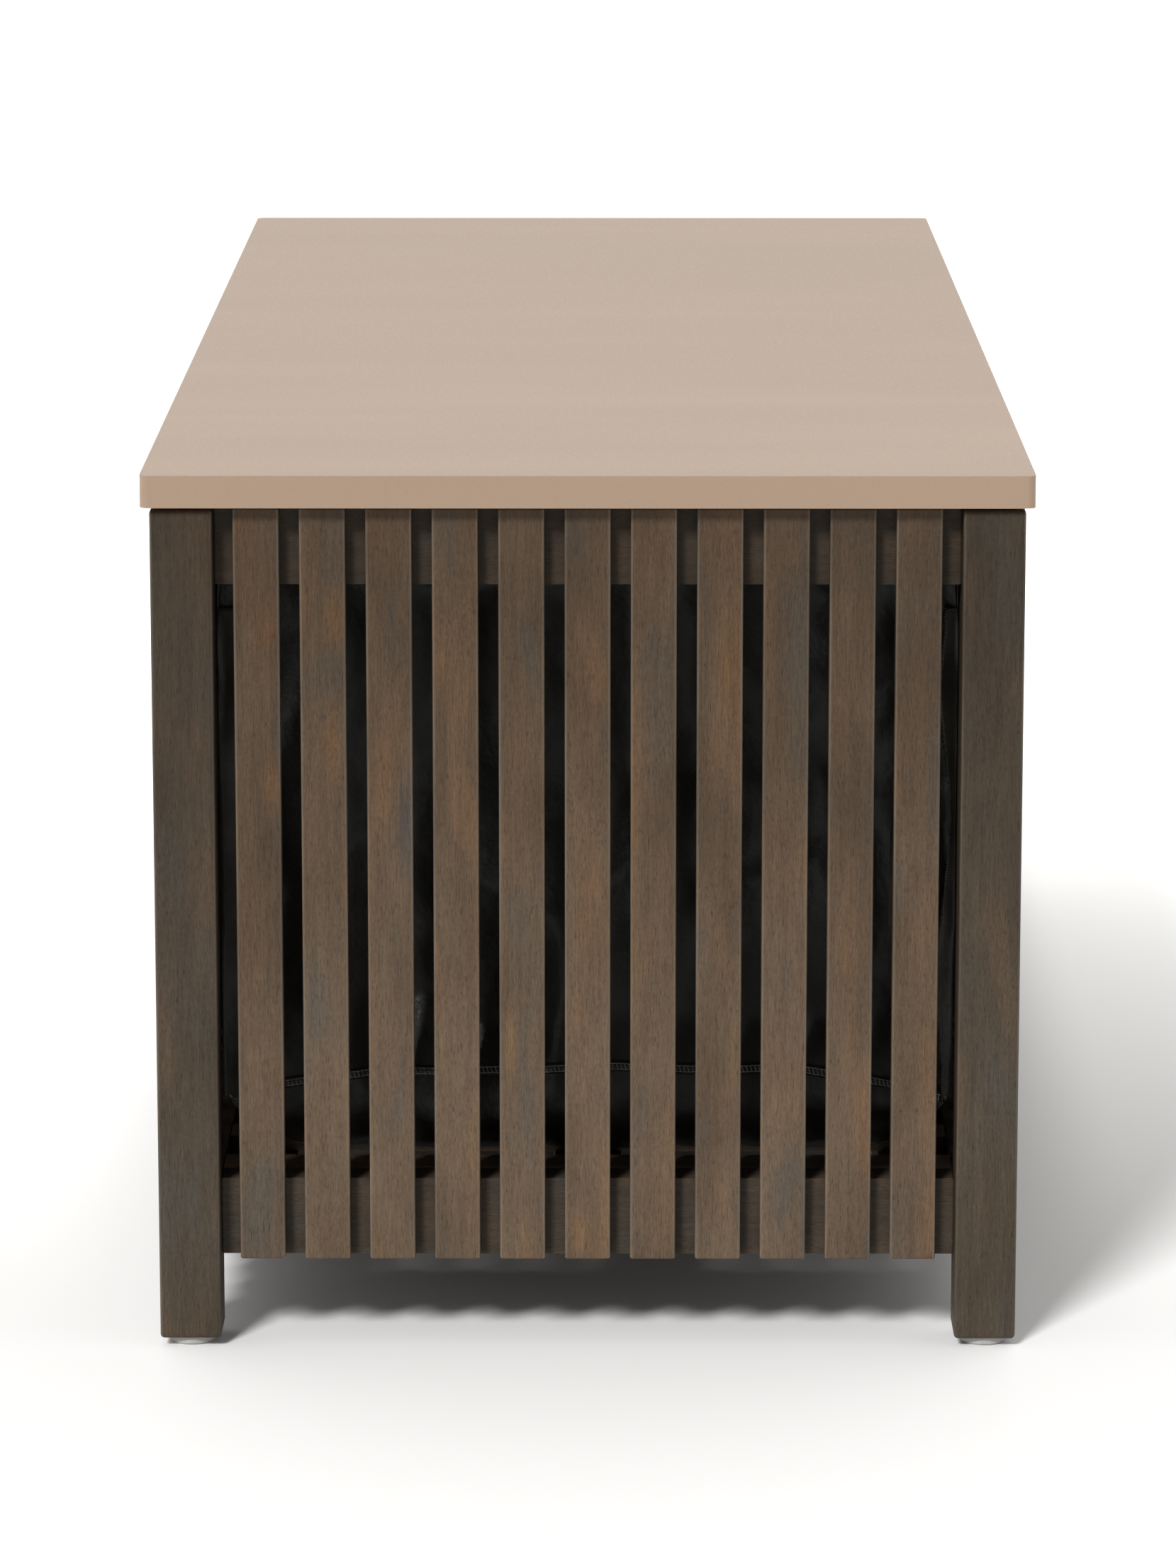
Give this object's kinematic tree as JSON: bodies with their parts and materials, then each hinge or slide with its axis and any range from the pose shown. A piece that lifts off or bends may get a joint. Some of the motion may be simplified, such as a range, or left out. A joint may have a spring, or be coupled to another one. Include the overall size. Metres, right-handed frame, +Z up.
{
  "type": "deck storage box",
  "caption": "Long slatted timber storage chest on four posts, with a flat lid hinged along the back on gas struts and a sewn fabric liner, for keeping cushions outdoors.",
  "frame": {"origin": "centre of the footprint on the floor", "axes": "+X along the chest's length, +Y towards the hinged back, +Z up"},
  "size_m": [1.4, 0.6, 0.609],
  "materials": {
    "post_wood": "satin stain, open pores",
    "slat_wood": "satin stain, open pores",
    "rail_wood": "satin stain, open pores",
    "lid_lacquer": "satin lacquer with a fine orange peel",
    "liner_fabric": "coated cloth, slight sheen",
    "dowel_wood": "bare",
    "screw_steel": "zinc plated",
    "hinge_steel": "brushed",
    "bracket_steel": "satin black",
    "stud_metal": "satin black",
    "glide_plastic": "matte",
    "bumper_rubber": "matte",
    "tube_metal": "gloss black",
    "rod_chrome": "polished"
  },
  "bodies": {
    "frame": {"front_left_post": "post_wood", "front_right_post": "post_wood", "back_left_post": "post_wood", "back_right_post": "post_wood", "front_top_rail": "rail_wood", "back_top_rail": "rail_wood", "left_top_rail": "rail_wood", "right_top_rail": "rail_wood", "front_bottom_rail": "rail_wood", "back_bottom_rail": "rail_wood", "left_bottom_rail": "rail_wood", "right_bottom_rail": "rail_wood", "front_bearer": "rail_wood", "centre_bearer": "rail_wood", "back_bearer": "rail_wood", "base_slats": "rail_wood", "front_slats": "slat_wood", "back_slats": "slat_wood", "left_slat_01": "slat_wood", "left_slat_02": "slat_wood", "left_slat_03": "slat_wood", "left_slat_04": "slat_wood", "left_slat_05": "slat_wood", "left_slat_06": "slat_wood", "left_slat_07": "slat_wood", "left_slat_08": "slat_wood", "left_slat_09": "slat_wood", "left_slat_10": "slat_wood", "left_slat_11": "slat_wood", "right_slat_01": "slat_wood", "right_slat_02": "slat_wood", "right_slat_03": "slat_wood", "right_slat_04": "slat_wood", "right_slat_05": "slat_wood", "right_slat_06": "slat_wood", "right_slat_07": "slat_wood", "right_slat_08": "slat_wood", "right_slat_09": "slat_wood", "right_slat_10": "slat_wood", "right_slat_11": "slat_wood", "rail_dowels": "dowel_wood", "slat_screws": "screw_steel", "foot_glides": "glide_plastic", "liner": "liner_fabric", "liner_studs": "stud_metal", "hinge_frame_leaves": "hinge_steel", "hinge_pins": "hinge_steel", "hinge_frame_screws": "screw_steel", "left_frame_bracket": "bracket_steel", "right_frame_bracket": "bracket_steel"},
    "lid": {"lid_panel": "lid_lacquer", "lid_bumpers": "bumper_rubber", "hinge_lid_leaves": "hinge_steel", "hinge_lid_screws": "screw_steel", "left_lid_bracket": "bracket_steel", "right_lid_bracket": "bracket_steel"},
    "left_tube": {"left_strut_tube": "tube_metal"},
    "left_rod": {"left_strut_rod": "rod_chrome"},
    "right_tube": {"right_strut_tube": "tube_metal"},
    "right_rod": {"right_strut_rod": "rod_chrome"}
  },
  "joints": [
    {"name": "lid_hinge", "type": "hinge", "parent": "frame", "child": "lid", "pos_m": [0, 0.297, 0.5837], "axis": [-1, 0, 0], "range_deg": [0, 85]},
    {"name": "left_strut_swing", "type": "hinge", "parent": "frame", "child": "left_tube", "pos_m": [-0.6387, 0.23, 0.546], "axis": [-1, 0, 0], "range_deg": [0, 89]},
    {"name": "left_strut_extension", "type": "slide", "parent": "left_tube", "child": "left_rod", "axis": [0, -0.9981, 0.0617], "range_m": [0, 0.1015]},
    {"name": "right_strut_swing", "type": "hinge", "parent": "frame", "child": "right_tube", "pos_m": [0.6387, 0.23, 0.546], "axis": [-1, 0, 0], "range_deg": [0, 89]},
    {"name": "right_strut_extension", "type": "slide", "parent": "right_tube", "child": "right_rod", "axis": [0, -0.9981, 0.0617], "range_m": [0, 0.1015]}
  ],
  "couplings": [
    {"joint": "left_strut_swing", "follows": "lid_hinge", "ratio": 1.0468},
    {"joint": "left_strut_extension", "follows": "lid_hinge", "m_per_rad": 0.068373},
    {"joint": "right_strut_swing", "follows": "lid_hinge", "ratio": 1.0468},
    {"joint": "right_strut_extension", "follows": "lid_hinge", "m_per_rad": 0.068373}
  ]
}
